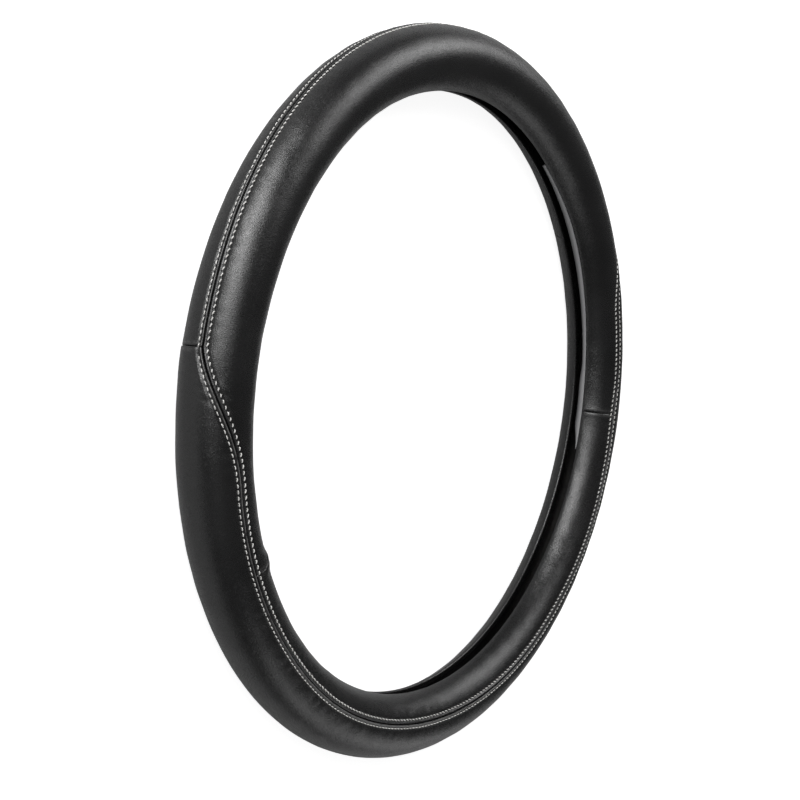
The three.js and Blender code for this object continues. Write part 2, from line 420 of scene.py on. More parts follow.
@dataclass
class NodeDesk:
    """Adds nodes to one tree and wires them up."""

    tree: bpy.types.NodeTree
    colour_inputs = (0, 6, 7)
    colour_output = 2

    def feed(self, socket: bpy.types.NodeSocket, value: object) -> None:
        """Feeds one input.

        Args:
            socket: The input.
            value: An output socket to link, or a value to set.
        """
        if isinstance(value, bpy.types.NodeSocket):
            self.tree.links.new(value, socket)
        else:
            socket.default_value = value

    def wire(self, node: bpy.types.Node, label: str, value: object) -> None:
        """Feeds a node's input by its name."""
        self.feed(node.inputs[label], value)

    def add(self, kind: str, settings: dict | None = None, **wires: object) -> bpy.types.Node:
        """Adds a node.

        Args:
            kind: The node's type, without "ShaderNode" in front.
            settings: The node's own properties.
            wires: Inputs by name, with _ for a space: an output socket to link, or a value.

        Returns:
            The node.
        """
        node = self.tree.nodes.new("ShaderNode" + kind)
        for label, value in (settings or {}).items():
            setattr(node, label, value)
        for label, value in wires.items():
            self.wire(node, label.replace("_", " "), value)
        return node

    def math(self, how: str, first: object, second: object = 0.0) -> bpy.types.NodeSocket:
        """Adds a Math node.

        Args:
            how: The operation.
            first: An output or a number.
            second: An output or a number.

        Returns:
            The node's output.
        """
        node = self.tree.nodes.new("ShaderNodeMath")
        node.operation = how
        for socket, value in zip(node.inputs, (first, second)):
            self.feed(socket, value)
        return node.outputs[0]

    def ease(self, value: object, low: float, high: float) -> bpy.types.NodeSocket:
        """Adds a smooth Map Range that ends at 0 and 1.

        Args:
            value: The output to ease.
            low: Where the result leaves 0.
            high: Where the result reaches 1.

        Returns:
            The node's output.
        """
        node = self.tree.nodes.new("ShaderNodeMapRange")
        node.interpolation_type = "SMOOTHSTEP"
        self.wire(node, "Value", value)
        node.inputs["From Min"].default_value = low
        node.inputs["From Max"].default_value = high
        return node.outputs["Result"]

    def scaled(self, value: object, low: float, high: float) -> bpy.types.NodeSocket:
        """Adds a plain Map Range that starts from 0 and 1.

        Args:
            value: The output to scale.
            low: The result at 0.
            high: The result at 1.

        Returns:
            The node's output.
        """
        node = self.tree.nodes.new("ShaderNodeMapRange")
        self.wire(node, "Value", value)
        node.inputs["To Min"].default_value = low
        node.inputs["To Max"].default_value = high
        return node.outputs["Result"]

    def blend(self, share: object, first: object, second: object) -> bpy.types.NodeSocket:
        """Adds a colour Mix node.

        Args:
            share: How much of the second colour shows.
            first: An output or a colour.
            second: An output or a colour.

        Returns:
            The node's output.
        """
        node = self.tree.nodes.new("ShaderNodeMix")
        node.data_type = "RGBA"
        for place, value in zip(self.colour_inputs, (share, first, second)):
            self.feed(node.inputs[place], value)
        return node.outputs[self.colour_output]

    def for_camera(self, elsewhere: float, seen: float) -> bpy.types.NodeSocket:
        """Adds a number that is another one for what the camera sees.

        Args:
            elsewhere: The number for all other light.
            seen: The number for the camera.

        Returns:
            The number's output.
        """
        path = self.add("LightPath")
        return self.scaled(path.outputs["Is Camera Ray"], elsewhere, seen)


def pebble_group() -> bpy.types.NodeTree:
    """Builds the leather grain: rounded pebbles with creases between them.

    Returns:
        A group with Height and Crease outputs.
    """
    group, given, result = add_group(
        "Pebble grain",
        {
            "Place": ("NodeSocketVector", None),
            "Cells": ("NodeSocketFloat", 900.0),
            "Fine": ("NodeSocketFloat", 0.3),
        },
        {"Height": "NodeSocketFloat", "Crease": "NodeSocketFloat"},
    )
    warp_scale, warp_shift = 260.0, 0.0012
    lesser_cells = 2.3
    crown_width, lesser_width, crease_width = 0.42, 0.4, 0.16
    desk = NodeDesk(group)
    place, cells = given.outputs["Place"], given.outputs["Cells"]
    warp = desk.add("TexNoise", Vector=place, Scale=warp_scale, Detail=1.0)
    shift = desk.add("VectorMath", {"operation": "SCALE"}, Vector=warp.outputs["Color"], Scale=warp_shift)
    moved = desk.add("VectorMath", {"operation": "ADD"})
    desk.feed(moved.inputs[0], place)
    desk.feed(moved.inputs[1], shift.outputs[0])
    edge = desk.add("TexVoronoi", {"feature": "DISTANCE_TO_EDGE"}, Vector=moved.outputs[0], Scale=cells)
    small = desk.math("MULTIPLY", cells, lesser_cells)
    lesser = desk.add("TexVoronoi", {"feature": "DISTANCE_TO_EDGE"}, Vector=moved.outputs[0], Scale=small)
    crowns = desk.ease(edge.outputs["Distance"], 0.0, crown_width)
    finer = desk.ease(lesser.outputs["Distance"], 0.0, lesser_width)
    fine = desk.math("MULTIPLY", finer, given.outputs["Fine"])
    desk.wire(result, "Height", desk.math("ADD", crowns, fine))
    apart = desk.ease(edge.outputs["Distance"], 0.0, crease_width)
    desk.wire(result, "Crease", desk.math("SUBTRACT", 1.0, apart))
    return group


def patch_group() -> bpy.types.NodeTree:
    """Builds slow changes of tone from place to place.

    Returns:
        A group with Tone and Speck outputs.
    """
    group, given, result = add_group(
        "Uneven tone",
        {"Place": ("NodeSocketVector", None), "Patches": ("NodeSocketFloat", 30.0)},
        {"Tone": "NodeSocketFloat", "Speck": "NodeSocketFloat"},
    )
    speck_scale = 1900.0
    tone_low, tone_high = 0.3, 0.7
    desk = NodeDesk(group)
    slow = desk.add("TexNoise", Vector=given.outputs["Place"], Scale=given.outputs["Patches"], Detail=3.0)
    quick = desk.add("TexNoise", Vector=given.outputs["Place"], Scale=speck_scale, Detail=2.0)
    desk.wire(result, "Tone", desk.ease(slow.outputs["Fac"], tone_low, tone_high))
    desk.wire(result, "Speck", quick.outputs["Fac"])
    return group


def sheen_shade_and_dust_group() -> bpy.types.NodeTree:
    """Builds a patchy painted highlight on raised edges, which also marks where they are polished, and a
    patchy mask of hollows and creases that the leather paints as shade and the rubber as dust.

    Returns:
        A group with a sheen-and-polish output and a shade-and-dust output.
    """
    group, given, result = add_group(
        "Edge wear",
        {
            "Place": ("NodeSocketVector", None),
            "Crest": ("NodeSocketFloat", 0.0),
            "Crease": ("NodeSocketFloat", 0.0),
        },
        {"Sheen_polish": "NodeSocketFloat", "Shade_dust": "NodeSocketFloat"},
    )
    wear_scale, crease_share = 420.0, 0.3
    worn_low, worn_high = 0.25, 0.6
    desk = NodeDesk(group)
    broken = desk.add("TexNoise", Vector=given.outputs["Place"], Scale=wear_scale, Detail=3.0)
    patchy = desk.ease(broken.outputs["Fac"], worn_low, worn_high)
    raised = desk.math("MAXIMUM", given.outputs["Crest"], 0.0)
    hollow = desk.math("MAXIMUM", desk.math("MULTIPLY", given.outputs["Crest"], -1.0), 0.0)
    hollows_and_creases = desk.math("MAXIMUM", hollow, desk.math("MULTIPLY", given.outputs["Crease"], crease_share))
    # Painted highlight mask for raised edges, also used for real polish.
    desk.wire(result, "Sheen_polish", desk.math("MULTIPLY", raised, patchy))
    # Mask of hollows and creases: painted shade on the leather, dust on the rubber.
    desk.wire(result, "Shade_dust", desk.math("MULTIPLY", hollows_and_creases, patchy))
    return group


@dataclass
class EffectShelf:
    """The node groups that the finishes share, each built once."""

    pebble: bpy.types.NodeTree = field(default_factory=pebble_group)
    patch: bpy.types.NodeTree = field(default_factory=patch_group)
    sheen_shade_and_dust: bpy.types.NodeTree = field(default_factory=sheen_shade_and_dust_group)


class Finish:
    """What every finish shares: a material with a Principled shader and the shared effects."""

    title = "Finish"

    def start(self) -> tuple:
        """Starts the material.

        Returns:
            The material, its node desk, its Principled node, and the place and crest outputs.
        """
        material = bpy.data.materials.new(self.title)
        material.use_nodes = True
        desk = NodeDesk(material.node_tree)
        shader = material.node_tree.nodes["Principled BSDF"]
        place = desk.add("TexCoord").outputs["Object"]
        crest = desk.add("Attribute", {"attribute_name": CREST}).outputs["Fac"]
        return material, desk, shader, place, crest

    @staticmethod
    def effect(desk: NodeDesk, group: bpy.types.NodeTree, **wires: object) -> bpy.types.Node:
        """Places a shared effect in a material.

        Args:
            desk: The material's node desk.
            group: The effect's node group.
            wires: The effect's inputs by name.

        Returns:
            The group node.
        """
        node = desk.tree.nodes.new("ShaderNodeGroup")
        node.node_tree = group
        for label, value in wires.items():
            desk.wire(node, label, value)
        return node

    @staticmethod
    def raise_surface(desk: NodeDesk, shader: bpy.types.Node, height: object, depth: float) -> None:
        """Feeds a height to the shader's normal.

        Args:
            desk: The material's node desk.
            shader: The Principled node.
            height: The height's output.
            depth: The height's depth in metres where it is 1.
        """
        relief = desk.add("Bump", Height=height, Distance=depth, Strength=1.0)
        desk.wire(shader, "Normal", relief.outputs["Normal"])


@dataclass(frozen=True)
class LeatherFinish(Finish):
    """Black grained leather with a soft gloss, a painted highlight on its raised seam edges and painted
    shade in its hollows.
    """

    title: str = "Black grained leather"
    dark: tuple = (0.0034, 0.0034, 0.0036, 1)
    light: tuple = (0.0064, 0.0063, 0.0066, 1)
    # Painted highlight: the pale grey of the raised seam ridges, cross seams and lip, where light would
    # catch them.
    painted_sheen: tuple = (0.14, 0.138, 0.136, 1)
    # Painted shade: the darker colour of stitch holes, the fold crease, seam gaps and grain creases.
    shade_and_dust: tuple = (0.003, 0.003, 0.003, 1)
    cells: float = 1500.0
    grain_depth: float = 0.000036
    shine: float = 0.8
    smooth: float = 0.235
    rough: float = 0.27
    crease_rough: float = 0.12
    polish: float = 0.08
    speck: float = 0.25

    def build(self, shelf: EffectShelf) -> bpy.types.Material:
        """Builds the material from the shared effects.

        Args:
            shelf: The shared effects.

        Returns:
            The material.
        """
        material, desk, shader, place, crest = self.start()
        grain = self.effect(desk, shelf.pebble, Place=place, Cells=self.cells)
        patch = self.effect(desk, shelf.patch, Place=place)
        crease = grain.outputs["Crease"]
        sheen_shade_and_dust = self.effect(desk, shelf.sheen_shade_and_dust, Place=place, Crest=crest, Crease=crease)
        plain = desk.blend(patch.outputs["Tone"], self.dark, self.light)
        # Painted highlight on the raised seam edges, in patches.
        patchy = desk.blend(sheen_shade_and_dust.outputs["Sheen_polish"], plain, self.painted_sheen)
        # Painted shade in stitch holes, folds, seam gaps and grain creases.
        desk.wire(shader, "Base Color", desk.blend(sheen_shade_and_dust.outputs["Shade_dust"], patchy, self.shade_and_dust))
        gloss = desk.scaled(patch.outputs["Tone"], self.smooth, self.rough)
        creased = desk.math("ADD", gloss, desk.math("MULTIPLY", crease, self.crease_rough))
        polish = desk.math("MULTIPLY", sheen_shade_and_dust.outputs["Sheen_polish"], self.polish)
        desk.wire(shader, "Roughness", desk.math("SUBTRACT", creased, polish))
        speck = desk.math("MULTIPLY", patch.outputs["Speck"], self.speck)
        self.raise_surface(desk, shader, desk.math("ADD", grain.outputs["Height"], speck), self.grain_depth)
        shader.inputs["Specular IOR Level"].default_value = self.shine
        return material


@dataclass(frozen=True)
class RubberFinish(Finish):
    """Matt black moulded rubber with fine dust in its hollows."""

    title: str = "Matt moulded rubber"
    dark: tuple = (0.004, 0.004, 0.004, 1)
    light: tuple = (0.008, 0.008, 0.008, 1)
    # On the rubber this colour is real dust, paler than the rubber, in the ridge hollows.
    shade_and_dust: tuple = (0.02, 0.019, 0.018, 1)
    patches: float = 60.0
    smooth: float = 0.68
    rough: float = 0.85
    grain_depth: float = 0.00004

    def build(self, shelf: EffectShelf) -> bpy.types.Material:
        """Builds the material from the shared effects.

        Args:
            shelf: The shared effects.

        Returns:
            The material.
        """
        material, desk, shader, place, crest = self.start()
        patch = self.effect(desk, shelf.patch, Place=place, Patches=self.patches)
        sheen_shade_and_dust = self.effect(desk, shelf.sheen_shade_and_dust, Place=place, Crest=crest)
        plain = desk.blend(patch.outputs["Tone"], self.dark, self.light)
        desk.wire(shader, "Base Color", desk.blend(sheen_shade_and_dust.outputs["Shade_dust"], plain, self.shade_and_dust))
        desk.wire(shader, "Roughness", desk.scaled(patch.outputs["Tone"], self.smooth, self.rough))
        self.raise_surface(desk, shader, patch.outputs["Speck"], self.grain_depth)
        return material


@dataclass(frozen=True)
class ThreadFinish(Finish):
    """White twisted thread, with painted shade between its plies and at its stitch ends."""

    title: str = "White twisted thread"
    bright: tuple = (0.95, 0.94, 0.92, 1)
    shaded: tuple = (0.84, 0.83, 0.8, 1)
    # Painted shade between the plies and at the stitch ends.
    hollow: tuple = (0.4, 0.39, 0.37, 1)
    patches: float = 160.0
    smooth: float = 0.6
    rough: float = 0.85
    fibre_scale: float = 7000.0
    fibre_depth: float = 0.00005
    sheen: float = 0.15

    def build(self, shelf: EffectShelf) -> bpy.types.Material:
        """Builds the material from the shared effects.

        Args:
            shelf: The shared effects.

        Returns:
            The material.
        """
        material, desk, shader, place, crest = self.start()
        patch = self.effect(desk, shelf.patch, Place=place, Patches=self.patches)
        plain = desk.blend(patch.outputs["Tone"], self.shaded, self.bright)
        # Painted shade between the plies and where each stitch dives into its hole.
        hollow = desk.ease(desk.math("MULTIPLY", crest, -1.0), 0.0, 1.0)
        desk.wire(shader, "Base Color", desk.blend(hollow, plain, self.hollow))
        desk.wire(shader, "Roughness", desk.scaled(patch.outputs["Speck"], self.smooth, self.rough))
        fibres = desk.add("TexNoise", Vector=place, Scale=self.fibre_scale, Detail=2.0)
        self.raise_surface(desk, shader, fibres.outputs["Fac"], self.fibre_depth)
        shader.inputs["Sheen Weight"].default_value = self.sheen
        return material


@dataclass(frozen=True)
class LiningFinish(Finish):
    """Smooth dark lining with a satin gloss and a painted sheen that pales it towards its upper edge."""

    title: str = "Smooth satin lining"
    dark: tuple = (0.03, 0.03, 0.032, 1)
    light: tuple = (0.055, 0.055, 0.058, 1)
    # Painted sheen: the pale grey towards the strip's upper edge.
    pale: tuple = (0.3, 0.3, 0.305, 1)
    patches: float = 45.0
    smooth: float = 0.24
    rough: float = 0.36
    grain_depth: float = 0.00002

    def build(self, shelf: EffectShelf) -> bpy.types.Material:
        """Builds the material from the shared effects.

        Args:
            shelf: The shared effects.

        Returns:
            The material.
        """
        material, desk, shader, place, crest = self.start()
        patch = self.effect(desk, shelf.patch, Place=place, Patches=self.patches)
        plain = desk.blend(patch.outputs["Tone"], self.dark, self.light)
        # Painted sheen, paler towards the strip's upper edge.
        desk.wire(shader, "Base Color", desk.blend(desk.ease(crest, 0.0, 1.0), plain, self.pale))
        desk.wire(shader, "Roughness", desk.scaled(patch.outputs["Tone"], self.smooth, self.rough))
        self.raise_surface(desk, shader, patch.outputs["Speck"], self.grain_depth)
        return material


def dress(piece: bpy.types.Object, nodes: tuple, material: bpy.types.Material) -> None:
    """Gives a finished piece its material and its place in the frame.

    Args:
        piece: The piece.
        nodes: The CAD nodes that it stands for.
        material: Its material.
    """
    piece.data.materials.append(material)
    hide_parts(*nodes)
    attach(piece, BODY)
    LOG.info("%s: %d corners", piece.name, len(piece.data.vertices))


@dataclass
class LeatherPanel:
    """One sewn leather panel, from the long seam to its lip at the slot."""

    name: str
    node: str
    side: Side
    start: float
    end: float
    route: SeamRoute
    course: StitchCourse
    seed: int
    unevenness: float = 0.08
    pucker: float = 0.09
    pucker_length: float = 9.5
    pucker_at: float = 3.6
    pucker_reach: float = 5.0
    pucker_sway: float = 2.1
    pucker_sway_rate: float = 1.7
    hole_depth: float = 0.4
    hole_share: float = 0.3
    hole_reach: float = 0.85
    edge_power: float = 2.4
    valley_power: float = 0.8
    crest_at: float = 1.1
    crest_reach: float = 0.9
    crest_rise: float = 0.14
    # Painted highlight along the seam ridge.
    crest_shine: float = 0.2
    crest_shine_share: float = 0.8
    cross_depth: float = 0.8
    cross_reach: float = 1.1
    cross_lift: float = 0.14
    cross_lift_at: float = 1.7
    cross_lift_reach: float = 2.0
    # Painted highlight beside each cross seam.
    cross_shine: float = 0.3
    cross_shine_at: float = 1.6
    cross_shine_reach: float = 1.0
    closing_stitch: float = 0.0
    closing_reach: float = 1.0
    closing_hold: float = 0.85
    proud: float = 0.0
    proud_reach: float = 30.0
    swell: float = 0.0
    swell_reach: float = 8.0
    swell_from: float = 2.0
    swell_to: float = 7.0
    crease_depth: float = 0.55
    crease_reach: float = 1.1
    crease_lean: float = 0.8
    crease_middle: float = 9.0
    crease_from: float = 3.5
    crease_to: float = 5.5
    # Painted shade in the fold crease, in the stitch holes and along the seam gaps.
    fold_shade: float = 1.5
    hole_shade: float = 1.2
    gap_shade_reach: float = 0.6
    lip_bulge: float = 0.85
    lip_sag: float = 0.12
    # Painted highlight on the lip's rounding.
    lip_shine: float = 0.1
    stitch_stations: int = 4
    cross_stations: tuple = (0.5, 0.85, 1.4, 2.3, 3.5, 5.2, 7.5, 10.5, 14.0)
    cross_clear: float = 1.1
    seam_stations: tuple = (0.22, 0.3, 0.4, 0.5, 0.6, 0.7, 0.8, 0.92, 1.06, 1.2, 1.35, 1.5)
    flank_from: float = 1.7
    flank_step: float = 0.22
    skin_step: float = 1.5
    lip_steps: int = 7
    turn_steps: int = 4
    inside_steps: int = 9

    @property
    def front(self) -> bool:
        """Whether the panel lies on the front side of the seam."""
        return self.side is Side.FRONT

    def stations(self) -> np.ndarray:
        """Gives the angles round the ring, a few to a stitch and closer by each cross seam.

        Returns:
            The angles.
        """
        sizes = self.route.sizes
        per_mm = math.degrees(1 / (sizes.centre_radius + sizes.section_radius / 2))
        near = np.array(self.cross_stations) * sizes.panel_gap
        margin = near * per_mm
        first, last = self.course.phase(self.start), self.course.phase(self.end)
        each = self.stitch_stations
        spread = np.arange(math.ceil(first * each), math.floor(last * each) + 1) / each
        inner = self.course.angle_at(spread)
        clear = margin[-1] * self.cross_clear
        keep = (inner > self.start + clear) & (inner < self.end - clear)
        return np.concatenate([self.start + margin, inner[keep], (self.end - margin)[::-1]])

    def rolled(self, distance: np.ndarray, reach: float) -> np.ndarray:
        """Gives the rounding of a rolled edge.

        Args:
            distance: Distances from the edge.
            reach: How far in the rounding goes.

        Returns:
            1 at the edge, 0 from its reach on.
        """
        share = np.clip(1 - distance / reach, 0, 1)
        return 1 - np.sqrt(np.clip(1 - share ** self.edge_power, 0, 1))

    def seam_depth(self, distance: np.ndarray) -> np.ndarray:
        """Gives the depth of the surface below the plain tube beside the long seam.

        Args:
            distance: Distances from the seam.

        Returns:
            Depths, negative where the surface stands proud.
        """
        s = self.route.sizes
        edge = s.seam_dip * self.rolled(distance, self.crest_at)
        ridge = -self.crest_rise * bump(distance - self.crest_at, self.crest_reach)
        valley = bump(distance - s.stitch_at, s.flush_at - s.stitch_at) ** self.valley_power
        return edge + ridge + s.stitch_sink * valley

    def cross_roll(self, cross: np.ndarray, distance: np.ndarray) -> np.ndarray:
        """Gives how deep the skin rolls in at the cross seams.

        Args:
            cross: Distances from the nearer cross seam.
            distance: Distances from the long seam.

        Returns:
            Depths, less at each closing stitch.
        """
        roll = self.cross_depth * self.rolled(cross, self.cross_reach)
        if self.closing_stitch:
            spot = np.mod(distance, self.closing_stitch) - self.closing_stitch / 2
            roll = roll * (1 - self.closing_hold * bump(spot, self.closing_reach))
        return roll

    def swelling(self, place: np.ndarray, distance: np.ndarray) -> tuple:
        """Gives the small swelling where the two front panels meet, and its slanted crease.

        Args:
            place: Distances along the ring from the swelling's middle.
            distance: Distances from the long seam.

        Returns:
            The swelling's height, and the crease's share from 0 to 1.
        """
        spread = bump(place, self.swell_reach)
        high = self.swell * spread * smoothstep(distance, self.swell_from, self.swell_to)
        slanted = place + self.crease_lean * (distance - self.crease_middle)
        fold = bump(slanted, self.crease_reach)
        fold = fold * smoothstep(distance, self.crease_from, self.crease_to) * spread * (self.swell > 0)
        return high, fold

    def surface(self, angle: np.ndarray, section: np.ndarray, distance: np.ndarray) -> tuple:
        """Gives the outer surface with its seams and unevenness.

        Args:
            angle: Angles round the ring, one column.
            section: Angles round the section.
            distance: Distances from the long seam.

        Returns:
            How far out the surface lies, its height, and its painted highlight and shade value.
        """
        s = self.route.sizes
        phase = self.course.phase(angle)
        hole = bump(np.mod(phase + 0.5, 1) - 0.5, self.hole_share)
        hole = hole * bump(distance - s.stitch_at, self.hole_reach)
        away = smoothstep(distance, s.ridge_at, s.flush_at)
        along = phase * self.course.pitch / self.pucker_length
        sway = self.pucker_sway * np.sin(along * self.pucker_sway_rate)
        tuck = np.sin(2 * np.pi * along + sway) * bump(distance - self.pucker_at, self.pucker_reach)
        soft = Unevenness(self.seed).at(angle, section)
        ring_radius = s.centre_radius + s.section_radius * np.sin(np.radians(section))
        from_start = np.radians(angle - self.start) * ring_radius
        cross = np.radians(np.minimum(angle - self.start, self.end - angle)) * ring_radius
        from_swell = np.radians(turned_from(angle, self.route.left_cross)) * ring_radius
        high, fold = self.swelling(from_swell, distance)
        lift = self.cross_lift * bump(cross - self.cross_lift_at, self.cross_lift_reach)
        lift = lift + self.proud * bump(from_start, self.proud_reach)
        lift = lift + high - self.crease_depth * fold
        out = s.section_radius - self.seam_depth(distance) - self.hole_depth * hole
        out = out + self.unevenness * soft * away + self.pucker * tuck
        out = out - self.cross_roll(cross, distance) + lift
        # Painted highlight on the seam ridge and beside the cross seams, and painted shade in the fold
        # crease, the stitch holes and the seam gaps, for the leather's colour.
        shine_reach = self.crest_reach * self.crest_shine_share
        crest = self.crest_shine * bump(distance - self.crest_at, shine_reach)
        crest = crest + self.cross_shine * bump(cross - self.cross_shine_at, self.cross_shine_reach)
        crest = crest - self.fold_shade * fold - self.hole_shade * hole
        crest = crest - np.clip(1 - distance / self.gap_shade_reach, 0, 1)
        crest = crest - np.clip(1 - cross / self.gap_shade_reach, 0, 1)
        tilt = np.radians(section)
        return out * np.sin(tilt), out * np.cos(tilt), crest

    def lip(self, angle: np.ndarray) -> tuple:
        """Gives the rounded lip and its turned edge.

        Args:
            angle: Angles round the ring, one column.

        Returns:
            How far out the lip's points lie, their heights, and their painted highlight values.
        """
        s = self.route.sizes
        height = s.lip_height(angle) if self.front else np.full_like(angle, s.slot_back)
        flat = s.pull(angle) if self.front else np.zeros_like(angle)
        top = height + s.lip_rounding
        outer = np.sqrt(s.section_radius ** 2 - height ** 2)
        depth = s.turn_in + (s.leather - s.turn_in) * flat
        bend = np.linspace(0, np.pi / 2, self.lip_steps)[None, :]
        start = np.sqrt(s.section_radius ** 2 - top ** 2)
        inward = start - s.lip_rounding * self.lip_bulge * (1 - np.cos(bend))
        level = top - s.lip_rounding * np.sin(bend)
        turn = np.linspace(0, 1, self.turn_steps + 1)[None, 1:]
        bulge = s.lip_rounding * self.lip_bulge
        reach = (start - bulge) + (outer - depth - start + bulge) * turn
        sag = height + self.lip_sag * np.sin(np.pi * turn)
        fold = height + s.leather + (s.leather / 4 - s.leather) * flat
        meet = height + s.leather + (s.leather / 2 - s.leather) * flat
        inside = np.sqrt(s.leather_inside ** 2 - meet ** 2)
        inward = np.concatenate([inward, reach, outer - depth + 0 * fold, inside], axis=1)
        level = np.concatenate([level, sag, fold, meet], axis=1)
        crest = np.zeros_like(inward)
        # Painted highlight along the lip's rounding.
        crest[:, : self.lip_steps] = self.lip_shine * np.sin(bend)
        return -inward, -self.side.value * level, crest

    def build(self, material: bpy.types.Material) -> bpy.types.Object:
        """Builds the panel and dresses it.

        Args:
            material: The leather's material.

        Returns:
            The piece.
        """
        s = self.route.sizes
        sign = self.side.value
        angle = self.stations()[:, None]
        flank = np.arange(self.flank_from, s.flush_at, self.flank_step)
        near = np.concatenate([[s.panel_gap / 2], self.seam_stations, flank, [s.flush_at]])[None, :]
        by_seam = self.route.beside(angle, sign * near)
        lip_top = (s.lip_height(angle) if self.front else s.slot_back) + s.lip_rounding
        to_slot = QUARTER_TURN - np.degrees(np.arcsin(lip_top / s.section_radius))
        finish_at = -to_slot if self.front else HALF_TURN + to_slot
        finish_at = finish_at + 0 * angle
        count = int(s.along_section(finish_at - by_seam[:, -1:]).max() / self.skin_step)
        share = np.linspace(0, 1, count + 1)[None, 1:-1]
        plain = by_seam[:, -1:] + (finish_at - by_seam[:, -1:]) * share
        section = np.concatenate([by_seam, plain], axis=1)
        far = s.flush_at + s.along_section(plain - by_seam[:, -1:])
        distance = np.concatenate([near + 0 * angle, far], axis=1)
        outward, height, crest = self.surface(angle, section, distance)
        lip_out, lip_height, lip_crest = self.lip(angle)
        seam_edge = self.route.beside(angle, sign * np.array([[s.panel_gap / 2]]))
        lip_end = np.degrees(np.arctan2(lip_out[:, -1:], lip_height[:, -1:]))
        lip_end = lip_end if self.front else np.mod(lip_end, FULL_TURN)
        share = np.linspace(0, 1, self.inside_steps + 1)[None, 1:]
        inside = np.radians(lip_end + (seam_edge - lip_end) * share)
        out = np.concatenate([outward, lip_out, s.leather_inside * np.sin(inside)], axis=1)
        up = np.concatenate([height, lip_height, s.leather_inside * np.cos(inside)], axis=1)
        # Painted highlight and shade values for the skin, the lip and the inside.
        rim = np.concatenate([crest, lip_crest, np.zeros_like(inside)], axis=1)
        points = s.place(angle, out, up).reshape(-1, 3)
        faces = sweep_faces(len(angle), out.shape[1], False)
        if self.side is Side.BACK:
            faces = [block[:, ::-1] for block in faces]
        piece = make_mesh(self.name, points, faces, rim.ravel())
        dress(piece, (self.node,), material)
        return piece


@dataclass
class StitchRow:
    """One row of separate stitches, each a short arch of two twisted plies."""

    name: str
    node: str
    course: StitchCourse
    slant: float = 0.0
    thickness: float = 0.6
    begins: float = 0.2
    ends: float = 0.8
    dive: float = 0.6
    dive_power: float = 3.5
    end_power: int = 6
    end_round: float = 1.06
    end_least: float = 0.06
    sides: int = 10
    rings: int = 12
    ply_depth: float = 0.16
    plies_turn: float = 1.7
    ply_power: float = 0.7
    ply_shade: float = 0.9
    wobble: float = 0.05
    wobble_along: float = 0.3
    wobble_up: float = 0.4
    seed: int = 11

    def build(self, material: bpy.types.Material) -> bpy.types.Object:
        """Builds the row and dresses it.

        Args:
            material: The thread's material.

        Returns:
            The piece.
        """
        route, s = self.course.route, self.course.route.sizes
        draw = np.random.default_rng(self.seed)
        along = np.linspace(0, 1, self.rings)[None, :]
        first = np.arange(self.course.count)[:, None]
        wobble = draw.normal(0, self.wobble, (self.course.count, 3))
        phase = first + self.begins + (self.ends - self.begins) * along
        phase = phase + wobble[:, :1] * self.wobble_along
        angle = self.course.angle_at(phase)
        tilt = math.tan(math.radians(self.slant)) + wobble[:, 1:2]
        aside = self.course.side.value * s.stitch_at + tilt * (along - 0.5) * self.course.pitch
        section = np.radians(route.beside(angle, aside))
        from_middle = np.abs(2 * along - 1)
        lift = s.section_radius - s.stitch_sink + self.thickness / 2
        lift = lift + wobble[:, 2:3] * self.wobble_up
        radius = lift - self.dive * from_middle ** self.dive_power
        middle = s.place(angle, radius * np.sin(section), radius * np.cos(section))
        turn = np.radians(angle)
        up = np.stack([
            np.sin(section) * np.cos(turn), np.sin(section) * np.sin(turn), np.cos(section)
        ], axis=-1)
        ahead = np.gradient(middle, axis=1)
        ahead /= np.linalg.norm(ahead, axis=-1, keepdims=True)
        across = np.cross(ahead, up)
        across /= np.linalg.norm(across, axis=-1, keepdims=True)
        up = np.cross(across, ahead)
        round_it = np.linspace(0, 2 * np.pi, self.sides, endpoint=False)[None, None, :]
        twist = round_it - np.pi * self.plies_turn * along[:, :, None]
        ply = np.abs(np.cos(twist))
        girth = self.thickness / 2 * (1 - self.ply_depth * (1 - ply)) + 0 * angle[:, :, None]
        by_end = from_middle ** self.end_power
        girth = girth * np.sqrt(np.clip(self.end_round - by_end, self.end_least, 1))[:, :, None]
        points = (
            middle[:, :, None, :]
            + across[:, :, None, :] * (girth * np.cos(round_it))[..., None]
            + up[:, :, None, :] * (girth * np.sin(round_it))[..., None]
        )
        # Painted shade values: darker between the plies and towards each stitch's ends.
        crest = (ply ** self.ply_power - 1) * self.ply_shade + 0 * girth - by_end[:, :, None]
        block = sweep_faces(self.rings, self.sides, False)
        each = self.rings * self.sides
        start = np.arange(self.course.count)[:, None, None] * each
        faces = [(start + part[None]).reshape(-1, part.shape[1])[:, ::-1] for part in block]
        piece = make_mesh(self.name, points.reshape(-1, 3), faces, crest.ravel())
        dress(piece, (self.node,), material)
        return piece


